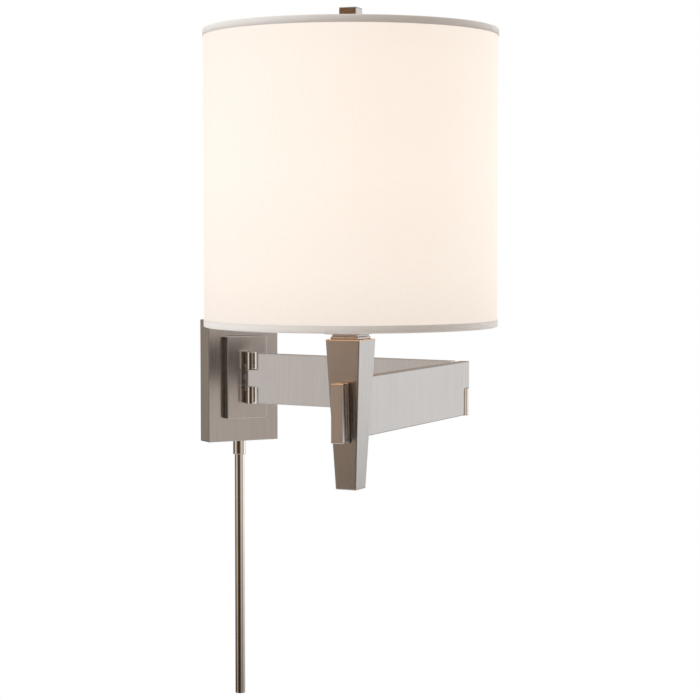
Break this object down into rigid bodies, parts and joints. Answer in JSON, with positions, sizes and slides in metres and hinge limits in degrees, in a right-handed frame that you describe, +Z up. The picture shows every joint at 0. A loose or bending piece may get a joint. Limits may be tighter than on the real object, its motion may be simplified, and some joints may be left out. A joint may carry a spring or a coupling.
{
  "type": "swing arm wall lamp",
  "caption": "Wall-mounted swing-arm lamp: square back plate, two deep flat hinged arms, tapered square stem with a rocker switch, drum shade and a straight cord cover below the plate.",
  "frame": {"origin": "centre of the back plate, on the wall's surface", "axes": "+Z up, +Y into the wall, so the lamp stands out towards -Y, and +X to the right of somebody who faces the wall"},
  "size_m": [0.3854, 0.6152, 0.7875],
  "materials": {
    "satin_nickel": "satin nickel, brushed",
    "polished_nickel": "polished nickel",
    "zinc_steel": "zinc plated",
    "brass": "bare brass",
    "bulb_base_metal": "pressed aluminium",
    "frame_wire": "nickel plated wire and strip",
    "cable_rubber": "matt black",
    "connector_plastic": "moulded",
    "black_plastic": "matt moulded",
    "bulb_glass": "soft white frosted",
    "shade_linen": "plain fabric on a stiff liner, lit from inside",
    "shade_trim": "folded fabric edge"
  },
  "bodies": {
    "wall_mount": {"mounting_bracket": "zinc_steel", "backplate": "satin_nickel", "backplate_set_screws": "zinc_steel", "hinge_plate": "satin_nickel", "hinge_plate_screws": "zinc_steel", "wire_bushing": "polished_nickel", "upper_wall_knuckle": "polished_nickel", "lower_wall_knuckle": "polished_nickel", "knuckle_screws": "zinc_steel", "wall_hinge_pin": "zinc_steel", "wall_hinge_washers": "brass", "wire_nuts": "connector_plastic", "cord_collar": "polished_nickel", "collar_nut": "zinc_steel", "cord_cover_tube": "polished_nickel"},
    "arm_one": {"arm_one_body": "satin_nickel", "arm_one_strip": "satin_nickel", "arm_one_strip_screws": "zinc_steel", "arm_one_cable": "cable_rubber", "elbow_knuckle": "polished_nickel", "elbow_knuckle_screw": "zinc_steel", "elbow_pin": "zinc_steel", "elbow_washer": "brass"},
    "arm_two": {"arm_two_body": "satin_nickel", "arm_two_strip": "satin_nickel", "arm_two_strip_screws": "zinc_steel", "arm_two_cable": "cable_rubber", "stem_screws": "zinc_steel", "stem_shell": "satin_nickel", "stem_end_cap": "satin_nickel", "stem_cable": "cable_rubber", "neck_block": "satin_nickel", "socket_plate": "satin_nickel", "switch_base": "satin_nickel", "switch_core": "black_plastic", "switch_pin": "zinc_steel", "lamp_nipple": "zinc_steel", "nipple_nut": "zinc_steel", "socket_nut": "zinc_steel", "harp_saddle": "frame_wire", "harp": "frame_wire", "socket_cap": "brass", "socket_sleeve": "brass", "socket_core": "black_plastic", "socket_screw_shell": "brass", "bulb_base": "bulb_base_metal", "bulb_glass": "bulb_glass", "shade_spider": "frame_wire", "shade_bottom_ring": "frame_wire", "shade_drum": "shade_linen", "shade_top_trim": "shade_trim", "shade_bottom_trim": "shade_trim", "finial": "satin_nickel"},
    "rocker": {"switch_paddle": "satin_nickel"}
  },
  "joints": [
    {"name": "wall_hinge", "type": "hinge", "parent": "wall_mount", "child": "arm_one", "pos_m": [0, -0.048, 0.0045], "axis": [0, 0, 1], "range_deg": [-111, 49]},
    {"name": "elbow_hinge", "type": "hinge", "parent": "arm_one", "child": "arm_two", "pos_m": [0.14936, -0.29658, 0.0045], "axis": [0, 0, 1], "range_deg": [-15, 184]},
    {"name": "rocker_tilt", "type": "hinge", "parent": "arm_two", "child": "rocker", "pos_m": [-0.09833, -0.47986, 0.0015], "axis": [-0.5948, 0.8039, 0], "range_deg": [-3, 3]}
  ]
}
